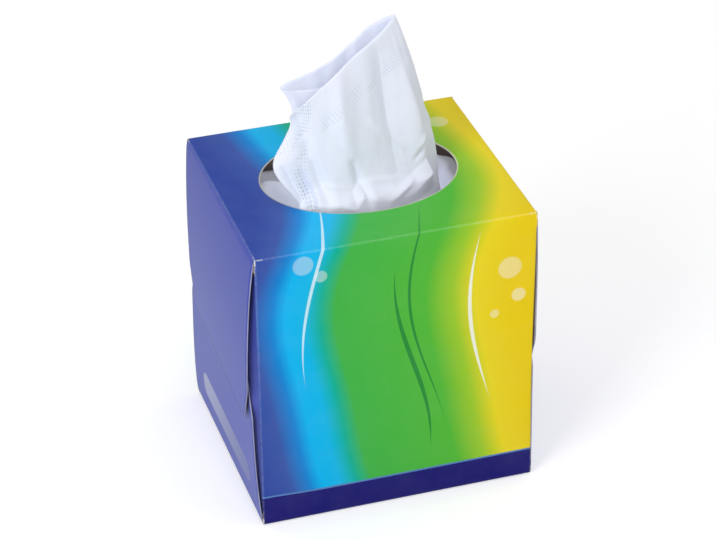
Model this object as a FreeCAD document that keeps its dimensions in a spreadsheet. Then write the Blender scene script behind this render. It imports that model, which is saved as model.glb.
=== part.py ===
import FreeCAD, Part
import math
import os
import Sketcher
from FreeCAD import Vector

# A cube tissue box: a folded board carton with an oval opening, a bent clip of
# interfolded tissues inside, the next tissue drawn up a little, and one tissue
# standing half pulled out. Millimetres, +Z up, +X right along the front, +Y to
# the back. The origin is the middle of the carton's underside.

document = FreeCAD.newDocument("tissue_box")

# Driving sizes.
sizes = document.addObject("Spreadsheet::Sheet", "sizes")
sizes.Label = "sizes"
driving_sizes = [
    # carton panels and board
    ("carton_width", 114.0),
    ("carton_depth", 101.0),
    ("carton_height", 124.0),
    ("board", 0.45),
    ("crease_radius", 0.9),
    ("joint_flap_width", 13.0),
    # oval opening
    ("opening_length", 79.6),
    ("opening_width", 62.8),
    ("opening_offset_x", 0.7),
    ("opening_offset_y", 1.3),
    # end closures
    ("dust_flap_reach", 38.0),
    ("dust_flap_taper", 7.0),
    ("upper_flap_drop", 75.0),
    ("lower_flap_rise", 68.0),
    ("flap_corner_taper", 6.0),
    ("flap_corner_rise", 16.0),
    ("flap_side_relief", 0.4),
    ("glue_line", 0.06),
    # how far the glued flaps gape at their front edges and belly out at their back edges
    ("left_upper_gape", 3.9),
    ("left_upper_belly", 0.7),
    ("left_lower_gape", 2.7),
    ("left_lower_belly", 0.85),
    ("left_dust_spring", 2.4),
    ("right_upper_gape", 0.3),
    # clip of tissues
    ("clip_clearance", 1.0),
    ("clip_headroom", 20.0),
    ("clip_shoulder", 26.0),
    ("rest_gap", 0.1),
    # loose sheets
    ("sheet_thickness", 0.45),
    ("next_sheet_length", 96.0),
    ("next_sheet_depth", 92.0),
    ("next_ridge_height", 10.5),
    ("next_ridge_offset", 22.5),
    ("next_ridge_spread", 13.0),
    ("next_ridge_radius", 2.2),
    ("popup_rise", 66.0),
    ("popup_lift", 0.3),
]
for row, (alias, value) in enumerate(driving_sizes, start=1):
    sizes.set("A%d" % row, alias)
    sizes.set("B%d" % row, str(value))
    sizes.setAlias("B%d" % row, alias)
document.recompute()


def size(alias):
    """Value of one cell of the sheet."""
    return float(sizes.get(alias))


width = size("carton_width")
depth = size("carton_depth")
height = size("carton_height")
board = size("board")


def bind(target, property_name, formula):
    """Bind a property to a formula of sheet cells, each written as [alias]."""
    target.setExpression(property_name, formula.replace("[", "<<sizes>>.").replace("]", ""))


# Wrap: front, top, back and bottom panels with rounded creases, open at both ends.

def rounded_profile(sketch, name, half_width, bottom, top, radius):
    """Rounded rectangle about the vertical axis, sized by formulas of the sheet.

    With no bottom given it stands on the horizontal axis.
    """
    half = size("carton_depth") / 2
    low = 1.0
    high = size("carton_height") - 1.0
    corner = 0.5
    first = sketch.GeometryCount
    line = Part.LineSegment
    sketch.addGeometry(line(Vector(corner - half, low), Vector(half - corner, low)))
    sketch.addGeometry(line(Vector(half, low + corner), Vector(half, high - corner)))
    sketch.addGeometry(line(Vector(half - corner, high), Vector(corner - half, high)))
    sketch.addGeometry(line(Vector(-half, high - corner), Vector(-half, low + corner)))
    centres = [(half - corner, low + corner), (half - corner, high - corner),
               (corner - half, high - corner), (corner - half, low + corner)]
    for index, (across, up) in enumerate(centres):
        circle = Part.Circle(Vector(across, up), Vector(0, 0, 1), corner)
        start = (index - 1) * math.pi / 2
        sketch.addGeometry(Part.ArcOfCircle(circle, start, start + math.pi / 2))
    for side in range(4):
        arc = first + 4 + side
        following = first + (side + 1) % 4
        sketch.addConstraint(Sketcher.Constraint("Tangent", first + side, 2, arc, 1))
        sketch.addConstraint(Sketcher.Constraint("Tangent", arc, 2, following, 1))
        if side > 0:
            sketch.addConstraint(Sketcher.Constraint("Equal", first + 4, arc))
    sketch.addConstraint(Sketcher.Constraint("Horizontal", first))
    sketch.addConstraint(Sketcher.Constraint("Vertical", first + 1))
    sketch.addConstraint(Sketcher.Constraint("Horizontal", first + 2))
    sketch.addConstraint(Sketcher.Constraint("Vertical", first + 3))
    driven = [
        ("right", Sketcher.Constraint("DistanceX", -1, 1, first + 1, 1, half), half_width),
        ("left", Sketcher.Constraint("DistanceX", first + 3, 1, -1, 1, half), half_width),
        ("high", Sketcher.Constraint("DistanceY", -1, 1, first + 2, 1, high), top),
        ("corner", Sketcher.Constraint("Radius", first + 4, corner), radius),
    ]
    if bottom is None:
        sketch.addConstraint(Sketcher.Constraint("PointOnObject", first, 1, -1))
    else:
        foot = Sketcher.Constraint("DistanceY", -1, 1, first, 1, low)
        driven.append(("low", foot, bottom))
    for label, constraint, formula in driven:
        index = sketch.addConstraint(constraint)
        constraint_name = name + "_" + label
        sketch.renameConstraint(index, constraint_name)
        bind(sketch, "Constraints." + constraint_name, formula)


def origin_plane(body, role):
    """One of a body's own origin planes."""
    for feature in body.Origin.OriginFeatures:
        if feature.Role == role:
            return feature


wrap = document.addObject("PartDesign::Body", "wrap")
wrap_sketch = wrap.newObject("Sketcher::SketchObject", "wrap_section")
wrap_sketch.AttachmentSupport = [(origin_plane(wrap, "YZ_Plane"), "")]
wrap_sketch.MapMode = "FlatFace"
document.recompute()
rounded_profile(wrap_sketch, "outer", "[carton_depth] / 2", None,
                "[carton_height]", "[crease_radius]")
rounded_profile(wrap_sketch, "inner", "[carton_depth] / 2 - [board]", "[board]",
                "[carton_height] - [board]", "[crease_radius] - [board]")
wrap_pad = wrap.newObject("PartDesign::Pad", "wrap_panels")
wrap_pad.Profile = wrap_sketch
wrap_pad.Midplane = True
bind(wrap_pad, "Length", "[carton_width]")
document.recompute()

# Flap of the side seam, glued inside the foot of the back panel.
joint_flap = document.addObject("Part::Box", "joint_flap")
bind(joint_flap, "Length", "[carton_width] - 2 * [dust_flap_taper]")
bind(joint_flap, "Width", "[board]")
bind(joint_flap, "Height", "[joint_flap_width]")
bind(joint_flap, "Placement.Base.x", "[dust_flap_taper] - [carton_width] / 2")
bind(joint_flap, "Placement.Base.y", "[carton_depth] / 2 - 2 * [board]")
bind(joint_flap, "Placement.Base.z", "[board] / 2")

# Oval opening through the top panel alone.
opening_outline = document.addObject("Part::Ellipse", "opening_outline")
bind(opening_outline, "MajorRadius", "[opening_length] / 2")
bind(opening_outline, "MinorRadius", "[opening_width] / 2")
bind(opening_outline, "Placement.Base.x", "[opening_offset_x]")
bind(opening_outline, "Placement.Base.y", "[opening_offset_y]")
bind(opening_outline, "Placement.Base.z", "[carton_height] - 2 * [board]")
opening_punch = document.addObject("Part::Extrusion", "opening_punch")
opening_punch.Base = opening_outline
opening_punch.Dir = Vector(0, 0, 1)
opening_punch.Solid = True
bind(opening_punch, "LengthFwd", "4 * [board]")


# End closures. Each flap is the die-cut outline, extruded along X, that a bowed slab
# of board leaves behind: the slab carries the bow and the outline carries the cut edge.
# A bow is drawn through this many points across the end and up it.
bow_stations_across = 7
bow_stations_up = 9


def flap_solid(outline, bow, side):
    """Flap cut to an outline of (y, z) points, from a slab bowed as bow(y, z) says."""
    near = min(point[0] for point in outline)
    far = max(point[0] for point in outline)
    low = min(point[1] for point in outline)
    high = max(point[1] for point in outline)
    layers = []
    for inward in (0.0, board):
        rows = []
        for row in range(bow_stations_across):
            y = near + (far - near) * row / (bow_stations_across - 1)
            rows.append([])
            for column in range(bow_stations_up):
                z = low + (high - low) * column / (bow_stations_up - 1)
                rows[-1].append(Vector(side * (width / 2 + bow(y, z) - inward), y, z))
        surface = Part.BSplineSurface()
        surface.interpolate(rows)
        layers.append(surface.toShape())
    return cut_to_outline(closed_between(layers[0], layers[1]), outline)


def cut_to_outline(slab, outline):
    """What a knife of this (y, z) outline leaves of the slab."""
    reach = width
    corners = [Vector(-reach, y, z) for y, z in outline]
    knife = Part.Face(Part.makePolygon(corners + corners[:1])).extrude(Vector(2 * reach, 0, 0))
    return slab.common(knife)


def ruled(one, other):
    """Ruled surface between two edges that run the same way."""
    keep_direction = 1
    return Part.makeRuledSurface(one, other, keep_direction)


def closed_solid(faces):
    """Solid inside faces that meet edge to edge."""
    shell = Part.makeShell(faces)
    shell.sewShape()
    solid = Part.makeSolid(Part.Shell(shell.Faces))
    if solid.Volume < 0:
        solid.reverse()
    return solid


def closed_between(one, other):
    """Solid between two surfaces of the same layout, closed by ruled strips round the rim."""
    rims = [border_curves(face) for face in (one, other)]
    return closed_solid([one, other] + [ruled(first, second) for first, second in zip(*rims)])


def border_curves(face):
    """The four border curves of a spline surface, in the order low u, high u, low v, high v."""
    surface = face.Surface
    u_low, u_high, v_low, v_high = surface.bounds()
    borders = [surface.uIso(u_low), surface.uIso(u_high), surface.vIso(v_low), surface.vIso(v_high)]
    return [curve.toShape() for curve in borders]


def ease(share):
    """Quick rise from a crease that settles towards the free edge, for a share from 0 to 1."""
    return math.sin(math.pi / 2 * max(share, 0.0) ** 0.7)


def front_share(y):
    """1 at the front edge of an end, 0 at its back edge."""
    return 0.5 - y / depth


upper_foot = height - size("upper_flap_drop")
lower_top = size("lower_flap_rise")
relief = size("flap_side_relief")
taper = size("flap_corner_taper")
corner_rise = size("flap_corner_rise")
glue_line = size("glue_line")
lower_stand = board + glue_line
upper_stand = 2 * lower_stand


def upper_bow(gape, belly):
    """Bow of an upper flap, hinged on the top crease."""
    def bow(y, z):
        share = (height - z) / (height - upper_foot)
        front = front_share(y)
        swell = math.sin(math.pi * min(share, 1.0) ** 0.8)
        return (upper_stand + front * gape) * ease(share) + (1 - front) * belly * swell
    return bow


def lower_bow(gape, belly):
    """Bow of a lower flap, hinged on the bottom crease."""
    def bow(y, z):
        share = z / lower_top
        front = front_share(y)
        swell = math.sin(math.pi * min(share, 1.0) ** 0.6)
        return (lower_stand + front * gape) * ease(share) + (1 - front) * belly * swell
    return bow


def upper_outline():
    """Cut edge of an upper flap, with its two lower corners tapered."""
    near = relief - depth / 2
    far = depth / 2 - relief
    crease = height - board / 2
    return [(near, crease), (far, crease), (far, upper_foot + corner_rise),
            (far - taper, upper_foot), (near + taper, upper_foot),
            (near, upper_foot + corner_rise)]


def lower_outline():
    """Cut edge of a lower flap, with its two upper corners tapered."""
    near = relief - depth / 2
    far = depth / 2 - relief
    crease = board / 2
    return [(near, crease), (far, crease), (far, lower_top - corner_rise),
            (far - taper, lower_top), (near + taper, lower_top),
            (near, lower_top - corner_rise)]


def dust_outline(toward_front):
    """Cut edge of a dust flap, hinged on the front or the back panel."""
    sign = -1 if toward_front else 1
    hinge = sign * (depth / 2 - board / 2)
    free = hinge - sign * size("dust_flap_reach")
    relief_z = size("dust_flap_taper")
    return [(hinge, relief_z), (hinge, height - relief_z),
            (free, height - 2 * relief_z), (free, 2 * relief_z)]


def dust_bow(spring):
    """Bow of a dust flap that springs outward just behind its crease."""
    reach = size("dust_flap_reach")
    relief_z = size("dust_flap_taper")

    def bow(y, z):
        across = min((y + depth / 2) / reach, 1.0)
        up = (z - relief_z) / (height - 2 * relief_z)
        return spring * math.sin(math.pi * across ** 0.45) * math.sin(math.pi * up)
    return bow


def flat_bow(y, z):
    """A flap that lies flat against the end."""
    return 0.0


left = -1
right = 1
flap_shapes = [
    ("left_front_dust_flap", dust_outline(True), dust_bow(size("left_dust_spring")), left),
    ("left_back_dust_flap", dust_outline(False), flat_bow, left),
    ("right_front_dust_flap", dust_outline(True), flat_bow, right),
    ("right_back_dust_flap", dust_outline(False), flat_bow, right),
    ("left_lower_flap", lower_outline(),
     lower_bow(size("left_lower_gape"), size("left_lower_belly")), left),
    ("left_upper_flap", upper_outline(),
     upper_bow(size("left_upper_gape"), size("left_upper_belly")), left),
    ("right_lower_flap", lower_outline(), lower_bow(0.0, 0.0), right),
    ("right_upper_flap", upper_outline(), upper_bow(size("right_upper_gape"), 0.0), right),
]
flaps = []
for flap_name, outline, bow, side in flap_shapes:
    flap = document.addObject("Part::Feature", flap_name)
    flap.Shape = flap_solid(outline, bow, side)
    flaps.append(flap)

folded_board = document.addObject("Part::MultiFuse", "folded_board")
folded_board.Shapes = [wrap, joint_flap] + flaps

carton = document.addObject("Part::Cut", "carton")
carton.Label = "carton"
carton.Base = folded_board
carton.Tool = opening_punch


# Clip of interfolded tissues, bent over as an inverted U with a flattened top. Its two legs
# press together in the middle.

def clip_outline():
    """Section of the bent clip in the XZ plane, from named sizes."""
    half = width / 2 - board - size("clip_clearance")
    foot = board + size("rest_gap")
    top = height - size("clip_headroom")
    shoulder = size("clip_shoulder")
    diagonal = shoulder * (1 - math.sqrt(0.5))

    def at(x, z):
        return Vector(x, 0, z)

    edges = [
        Part.LineSegment(at(-half, foot), at(-half, top - shoulder)),
        Part.Arc(at(-half, top - shoulder), at(diagonal - half, top - diagonal),
                 at(shoulder - half, top)),
        Part.LineSegment(at(shoulder - half, top), at(half - shoulder, top)),
        Part.Arc(at(half - shoulder, top), at(half - diagonal, top - diagonal),
                 at(half, top - shoulder)),
        Part.LineSegment(at(half, top - shoulder), at(half, foot)),
        Part.LineSegment(at(half, foot), at(-half, foot)),
    ]
    return Part.Wire([edge.toShape() for edge in edges])


clip_depth = depth - 4 * board - 2 * size("clip_clearance")
tissue_stack = document.addObject("Part::Feature", "tissue_stack")
tissue_stack.Label = "tissue_stack"
tissue_stack.Shape = Part.Face(clip_outline()).extrude(Vector(0, clip_depth, 0))
tissue_stack.Placement = FreeCAD.Placement(Vector(0, -clip_depth / 2, 0), FreeCAD.Rotation())


# Loose sheets of the sheet's thickness: one bent in a plain section, one drawn over splines.

def spline_curve(poles):
    """Clamped cubic spline over these poles."""
    spans = len(poles) - 3
    knots = [index / spans for index in range(spans + 1)]
    multiplicities = [4] + [1] * (spans - 1) + [4]
    curve = Part.BSplineCurve()
    curve.buildFromPolesMultsKnots(poles, multiplicities, knots, False, 3)
    return curve


clip_top = height - size("clip_headroom")
thickness = size("sheet_thickness")
next_seat = clip_top + size("rest_gap")
popup_seat = next_seat + thickness + size("popup_lift")


def rounded_path(corners, radius):
    """Straight runs through these corners, joined by tangent arcs."""
    edges = []
    start = corners[0]
    for before, corner, after in zip(corners, corners[1:], corners[2:]):
        back = (before - corner).normalize()
        onward = (after - corner).normalize()
        half_angle = back.getAngle(onward) / 2
        setback = radius / math.tan(half_angle)
        middle = (back + onward).normalize() * (radius / math.sin(half_angle) - radius)
        edges.append(Part.LineSegment(start, corner + back * setback).toShape())
        edges.append(Part.Arc(corner + back * setback, corner + middle,
                              corner + onward * setback).toShape())
        start = corner + onward * setback
    edges.append(Part.LineSegment(start, corners[-1]).toShape())
    return Part.Wire(edges)


def next_profile():
    """Face of the next tissue's section: flat, with a ridge drawn up behind the middle."""
    half_depth = size("next_sheet_depth") / 2
    ridge = size("next_ridge_offset")
    foot = size("next_ridge_spread") / 2
    rise = Vector(0, 0, size("next_ridge_height"))

    def seat(y):
        return Vector(0, y, next_seat)

    corners = [seat(-half_depth), seat(ridge - foot), seat(ridge) + rise,
               seat(ridge + foot), seat(half_depth)]
    under = rounded_path(corners, size("next_ridge_radius"))
    round_joins = 0
    return under.makeOffset2D(-thickness, round_joins, True, True)


next_length = size("next_sheet_length")
next_tissue = document.addObject("Part::Feature", "next_tissue")
next_tissue.Label = "next_tissue"
next_tissue.Shape = next_profile().extrude(Vector(next_length, 0, 0))
next_tissue.Placement = FreeCAD.Placement(Vector(-next_length / 2, 0, 0), FreeCAD.Rotation())

# The standing tissue, gathered by the opening. Each line is one upright run of the sheet,
# in order from the left cut edge, behind, round the right fold and back along the front.
# X and Y are shares of the opening's half length and half width from its middle. The rows
# are the hem on the clip and the neck in the opening, then low, high and the top edge, as
# shares of the tissue's rise.
hem_row = "hem"
popup_runs = [
    ("left cut edge", [(-0.95, -0.40, hem_row), (-0.84, -0.50, 0.0), (-1.02, -0.22, 0.24),
                       (-0.61, 0.10, 0.41), (-0.74, 0.28, 0.58)]),
    ("left lobe", [(-0.60, 0.20, hem_row), (-0.62, -0.20, 0.0), (-0.68, -0.10, 0.26),
                   (-0.47, 0.27, 0.44), (-0.45, 0.30, 0.64)]),
    ("back middle", [(-0.05, 0.29, hem_row), (-0.14, 0.25, 0.0), (-0.12, 0.28, 0.30),
                     (-0.07, 0.28, 0.55), (-0.07, 0.25, 0.77)]),
    ("back right", [(0.55, 0.28, hem_row), (0.42, 0.25, 0.0), (0.38, 0.24, 0.33),
                    (0.29, 0.20, 0.64), (0.18, 0.15, 0.945)]),
    ("behind the fold", [(1.00, 0.20, hem_row), (0.82, 0.12, 0.0), (0.76, 0.10, 0.36),
                         (0.59, 0.09, 0.73), (0.41, 0.06, 1.015)]),
    ("before the fold", [(1.00, -0.25, hem_row), (0.82, -0.13, 0.0), (0.76, -0.06, 0.36),
                         (0.59, -0.04, 0.73), (0.41, -0.02, 1.01)]),
    ("front right", [(0.65, -0.85, hem_row), (0.48, -0.55, 0.0), (0.41, -0.33, 0.33),
                     (0.31, -0.18, 0.67), (0.20, -0.11, 0.93)]),
    ("front middle", [(0.00, -1.02, hem_row), (0.00, -0.72, 0.0), (-0.02, -0.42, 0.29),
                      (-0.07, -0.28, 0.57), (-0.10, -0.20, 0.82)]),
    ("front left", [(-0.62, -0.92, hem_row), (-0.44, -0.75, 0.0), (-0.52, -0.50, 0.26),
                    (-0.56, -0.40, 0.48), (-0.55, -0.33, 0.68)]),
    ("left ridge", [(-0.86, -0.62, hem_row), (-0.60, -0.60, 0.0), (-0.76, -0.40, 0.26),
                    (-0.82, -0.33, 0.46), (-0.76, -0.30, 0.62)]),
    ("behind the ridge", [(-0.50, -0.35, -0.26), (-0.48, -0.40, 0.0), (-0.58, -0.24, 0.26),
                          (-0.66, -0.20, 0.44), (-0.62, -0.18, 0.575)]),
]
# The standing sheet is made of ruled panels: this many bands up it and panels along it.
popup_bands = 9
popup_panels = 48


def popup_pole(share_x, share_y, rise):
    """Pole of the standing tissue from its shares of the opening and of the rise."""
    x = size("opening_offset_x") + share_x * size("opening_length") / 2
    y = size("opening_offset_y") + share_y * size("opening_width") / 2
    z = popup_seat if rise == hem_row else height + rise * size("popup_rise")
    return Vector(x, y, z)


def popup_rows():
    """Rows of poles up the standing tissue, on its outer side and on its inner side."""
    uprights = [spline_curve([popup_pole(*share) for share in run]) for _, run in popup_runs]
    outer_rows = []
    inner_rows = []
    for band in range(popup_bands + 1):
        share = band / popup_bands
        outer = [upright.value(share) for upright in uprights]
        inner = []
        for index, point in enumerate(outer):
            across = outer[min(index + 1, len(outer) - 1)] - outer[max(index - 1, 0)]
            inward = across.cross(uprights[index].tangent(share)[0])
            inner.append(point - inward.normalize() * thickness)
        outer_rows.append(outer)
        inner_rows.append(inner)
    return outer_rows, inner_rows


def panelled_sheet(outer_rows, inner_rows):
    """Closed sheet of ruled panels between rows of points along spline curves."""
    def points(poles):
        curve = spline_curve(poles)
        return [curve.value(panel / popup_panels) for panel in range(popup_panels + 1)]

    def panel_face(first, second, third, fourth):
        low = Part.LineSegment(first, second).toShape()
        high = Part.LineSegment(third, fourth).toShape()
        return ruled(low, high)

    faces = []
    sides = [[points(row) for row in rows] for rows in (outer_rows, inner_rows)]
    for side in sides:
        for low, high in zip(side, side[1:]):
            for at in range(popup_panels):
                faces.append(panel_face(low[at], low[at + 1], high[at], high[at + 1]))
    outer, inner = sides
    for row in (0, -1):
        for at in range(popup_panels):
            faces.append(panel_face(outer[row][at], outer[row][at + 1],
                                    inner[row][at], inner[row][at + 1]))
    for end in (0, -1):
        for band in range(popup_bands):
            faces.append(panel_face(outer[band][end], outer[band + 1][end],
                                    inner[band][end], inner[band + 1][end]))
    return closed_solid(faces)


popup_tissue = document.addObject("Part::Feature", "popup_tissue")
popup_tissue.Label = "popup_tissue"
popup_tissue.Shape = panelled_sheet(*popup_rows())

document.recompute()

pieces = [carton, tissue_stack, next_tissue, popup_tissue]
for item in document.Objects:
    if "Invalid" in item.State or "Error" in item.State:
        raise RuntimeError("failed object: " + item.Name)
for piece in pieces:
    if piece.Shape.isNull() or not piece.Shape.isValid():
        raise RuntimeError("bad shape: " + piece.Label)

os.makedirs("parts", exist_ok=True)
for piece in pieces:
    piece.Shape.exportStep("parts/" + piece.Label + ".step")
    box = piece.Shape.BoundBox
    print(piece.Label, "solids", len(piece.Shape.Solids), "volume %.1f" % piece.Shape.Volume,
          "box x %.2f..%.2f y %.2f..%.2f z %.2f..%.2f" % (
              box.XMin, box.XMax, box.YMin, box.YMax, box.ZMin, box.ZMax))
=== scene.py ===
import math

import bpy
import numpy as np
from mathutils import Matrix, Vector


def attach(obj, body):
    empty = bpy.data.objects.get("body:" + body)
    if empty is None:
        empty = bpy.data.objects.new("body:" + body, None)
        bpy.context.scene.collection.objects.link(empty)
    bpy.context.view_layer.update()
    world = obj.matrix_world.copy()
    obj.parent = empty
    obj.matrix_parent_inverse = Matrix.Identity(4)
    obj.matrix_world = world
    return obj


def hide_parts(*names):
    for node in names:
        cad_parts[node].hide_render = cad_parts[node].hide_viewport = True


# A cube tissue box: printed carton with an oval opening, the clip of tissues inside, the next
# tissue drawn up a little, and one tissue standing half pulled out. Metres, +Z up, the front
# panel towards -Y, the origin in the middle of the carton's underside.

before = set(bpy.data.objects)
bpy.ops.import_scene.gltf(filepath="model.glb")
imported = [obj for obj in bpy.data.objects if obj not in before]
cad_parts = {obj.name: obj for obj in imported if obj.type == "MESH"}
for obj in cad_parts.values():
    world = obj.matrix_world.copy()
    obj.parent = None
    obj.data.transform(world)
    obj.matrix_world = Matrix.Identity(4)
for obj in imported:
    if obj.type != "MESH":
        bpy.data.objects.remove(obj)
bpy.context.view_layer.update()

MM = 0.001
WIDTH = 114.0 * MM
DEPTH = 101.0 * MM
HEIGHT = 124.0 * MM
BOARD = 0.45 * MM
CREASE = 0.9 * MM
OVAL_LENGTH = 79.6 * MM
OVAL_WIDTH = 62.8 * MM
OVAL_X = 0.7 * MM
OVAL_Y = 1.3 * MM
CLIP_TOP = 104.0 * MM
CLIP_HALF = 55.55 * MM
CLIP_BEND = 26.0 * MM
HALF_W = WIDTH / 2
HALF_D = DEPTH / 2

# End flaps: length, the taper of their free corners, and how they widen below the hinge.
UPPER_FLAP = 75.0 * MM
LOWER_FLAP = 68.0 * MM
TAPER_LENGTH = 16.0 * MM
TAPER_DEPTH = 6.0 * MM
FLAP_WIDENING = 0.5 * MM
DUST_FLAP = 38.0 * MM
DUST_NOTCH = 7.0 * MM
NOTCH_STEP = 0.4 * MM

# Gape at the front and belly at the back, in millimetres, of the upper and the lower flap at the
# left (-1) and the right (1) end.
FLAP_STAND = {-1: ((3.9, 0.7), (2.7, 0.85)), 1: ((0.3, 0.0), (0.0, 0.0))}

# Material slots of the board. The wrap's print is slot 0 and the ends' print slot 3. The inner
# faces and cut edges of each lie one and two slots further on.
END_SLOT = 3
INNER_STEP = 1
EDGE_STEP = 2

TISSUE = 0.22 * MM
NEXT_TISSUE = 0.20 * MM
HEM_FLOOR = 105.05 * MM
TISSUE_RISE = 66.0 * MM


def srgb(red, green, blue):
    """Linear colour of a screen colour given from 0 to 255."""
    linear = []
    for channel in (red, green, blue):
        share = channel / 255.0
        linear.append(share / 12.92 if share <= 0.04045 else ((share + 0.055) / 1.055) ** 2.4)
    return tuple(linear) + (1.0,)


# Mesh helpers

def patch_faces(rows, columns):
    """Quads of a grid of rows by columns points."""
    faces = []
    for row in range(rows - 1):
        for column in range(columns - 1):
            corner = row * columns + column
            faces.append((corner, corner + 1, corner + columns + 1, corner + columns))
    return faces


class SheetMaker:
    """Collects grids of points into one mesh that is welded where the grids meet."""

    def __init__(self, name):
        self.name = name
        self.points = []
        self.prints = []
        self.faces = []
        self.finish = []

    def add(self, points, prints, outward, finish=0):
        """Adds a grid and turns its normals to point outward."""
        rows, columns, _ = points.shape
        faces = patch_faces(rows, columns)
        across = points[:-1, 1:] - points[:-1, :-1]
        along = points[1:, :-1] - points[:-1, :-1]
        facing = np.cross(across, along).reshape(-1, 3).sum(axis=0) @ np.array(outward)
        if facing < 0:
            faces = [face[::-1] for face in faces]
        start = len(self.points)
        self.points.extend(map(tuple, points.reshape(-1, 3)))
        self.prints.extend(map(tuple, prints.reshape(-1, 2)))
        self.faces.extend(tuple(start + corner for corner in face) for face in faces)
        self.finish.extend([finish] * len(faces))

    def build(self, weld=2e-6):
        """The mesh object, with its print co-ordinates as a UV map."""
        mesh = bpy.data.meshes.new(self.name)
        mesh.from_pydata(self.points, [], self.faces)
        layer = mesh.uv_layers.new(name="print")
        corners = np.array([corner for face in self.faces for corner in face])
        layer.data.foreach_set("uv", np.array(self.prints)[corners].astype(np.float32).ravel())
        mesh.polygons.foreach_set("material_index", self.finish)
        mesh.polygons.foreach_set("use_smooth", [True] * len(self.faces))
        piece = bpy.data.objects.new(self.name, mesh)
        bpy.context.scene.collection.objects.link(piece)
        welding = piece.modifiers.new("weld", "WELD")
        welding.merge_threshold = weld
        return piece


def thicken(piece, thickness, offset, inside=0, rim=0):
    """Gives a sheet its thickness."""
    solid = piece.modifiers.new("thickness", "SOLIDIFY")
    solid.thickness = thickness
    solid.offset = offset
    solid.use_even_offset = True
    solid.material_offset = inside
    solid.material_offset_rim = rim


def apply_modifiers(piece):
    """Replaces a piece's mesh by what its modifiers make of it."""
    graph = bpy.context.evaluated_depsgraph_get()
    made = bpy.data.meshes.new_from_object(piece.evaluated_get(graph))
    piece.modifiers.clear()
    piece.data = made


# Carton: one folded sheet of board

def settle(points):
    """Small warps of the whole folded carton: bowed panels and a pressed right front edge."""
    x, y, z = points[..., 0], points[..., 1], points[..., 2]
    level = np.clip(z / HEIGHT, 0, 1)
    up = np.sin(np.pi * level)
    across = np.cos(np.pi * np.clip(x / WIDTH, -0.5, 0.5))
    front = np.clip(0.5 - y / DEPTH, 0, 1)
    right = np.clip(x / WIDTH + 0.5, 0, 1)
    middle = np.cos(np.pi * np.clip(y / DEPTH, -0.5, 0.5))
    moved = points.copy()
    moved[..., 0] -= 0.6 * MM * front ** 3 * right ** 4 * np.sin(np.pi * level ** 0.8) ** 2
    moved[..., 1] -= 0.35 * MM * (2 * front - 1) * up * across
    moved[..., 2] += 0.30 * MM * across * middle * level ** 6
    return moved


def ease(share):
    """Quick rise from a crease that settles towards the free edge."""
    return np.sin(np.pi / 2 * np.clip(share, 0, 1) ** 0.7)


def flap_stand(run, y, reach, lap, gape, belly, power):
    """How far an end flap stands off the end, at a run from its hinge's panel."""
    share = np.clip(run / reach, 0, 1)
    front = 0.5 - y / DEPTH
    swell = np.sin(np.pi * share ** power)
    return (lap + front * gape) * ease(share) + (1 - front) * belly * swell


def arc_shares(steps=5):
    """Sine, one less cosine, and plain share of a quarter turn."""
    turn = np.linspace(0, np.pi / 2, steps + 1)
    return np.sin(turn), 1 - np.cos(turn), turn / (np.pi / 2)


def lay(first, second, third):
    """Grid of points from three broadcast co-ordinate arrays."""
    return np.stack(np.broadcast_arrays(first, second, third), axis=-1).astype(float)


def pair(first, second):
    """Grid of print co-ordinates from two broadcast arrays."""
    return np.stack(np.broadcast_arrays(first, second), axis=-1).astype(float)


def panel_stops(half, count, extra=()):
    """Evenly spaced stops between two creases, with extra ones at die-cut corners."""
    stops = np.linspace(-half, half, count)
    return np.unique(np.round(np.concatenate([stops, np.array(extra, float)]), 7))


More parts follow.
